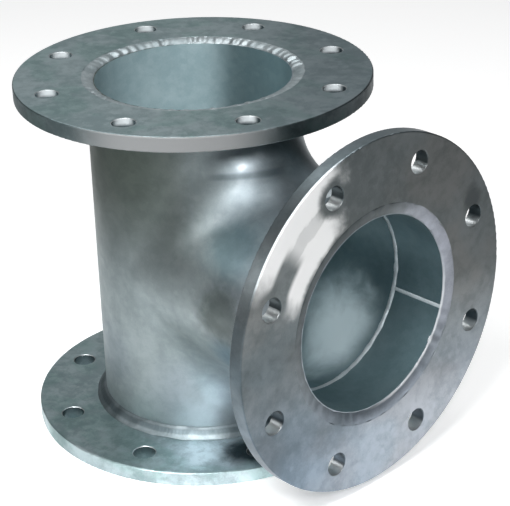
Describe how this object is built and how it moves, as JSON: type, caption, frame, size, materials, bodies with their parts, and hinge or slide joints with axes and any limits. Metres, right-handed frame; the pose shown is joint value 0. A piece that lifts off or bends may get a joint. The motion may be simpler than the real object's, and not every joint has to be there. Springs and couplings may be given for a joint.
{
  "type": "flanged tee",
  "caption": "Equal pipe tee with a drilled plate flange on each end of the run and on the branch, welded and galvanised.",
  "frame": {"origin": "centre of the bottom flange's face, on the axis of the run", "axes": "+Z along the run towards the top flange, +X along the branch towards its flange, +Y completes the set"},
  "size_m": [0.334, 0.28, 0.29],
  "materials": {
    "galvanised_body": "hot-dip galvanised, dull grey zinc with soft streaks",
    "galvanised_plate": "hot-dip galvanised plate, mottled grey zinc with rubbed bright patches",
    "galvanised_weld": "hot-dip galvanised weld bead, brighter zinc on the ripples"
  },
  "bodies": {
    "root": {"tee_body": "galvanised_body", "branch_spigot": "galvanised_body", "top_flange": "galvanised_plate", "bottom_flange": "galvanised_plate", "branch_flange": "galvanised_plate", "top_back_weld": "galvanised_weld", "bottom_back_weld": "galvanised_weld", "branch_back_weld": "galvanised_weld", "top_face_weld": "galvanised_weld", "bottom_face_weld": "galvanised_weld", "branch_face_weld": "galvanised_weld", "branch_ring_weld": "galvanised_weld", "branch_seam_weld": "galvanised_weld"}
  },
  "joints": []
}
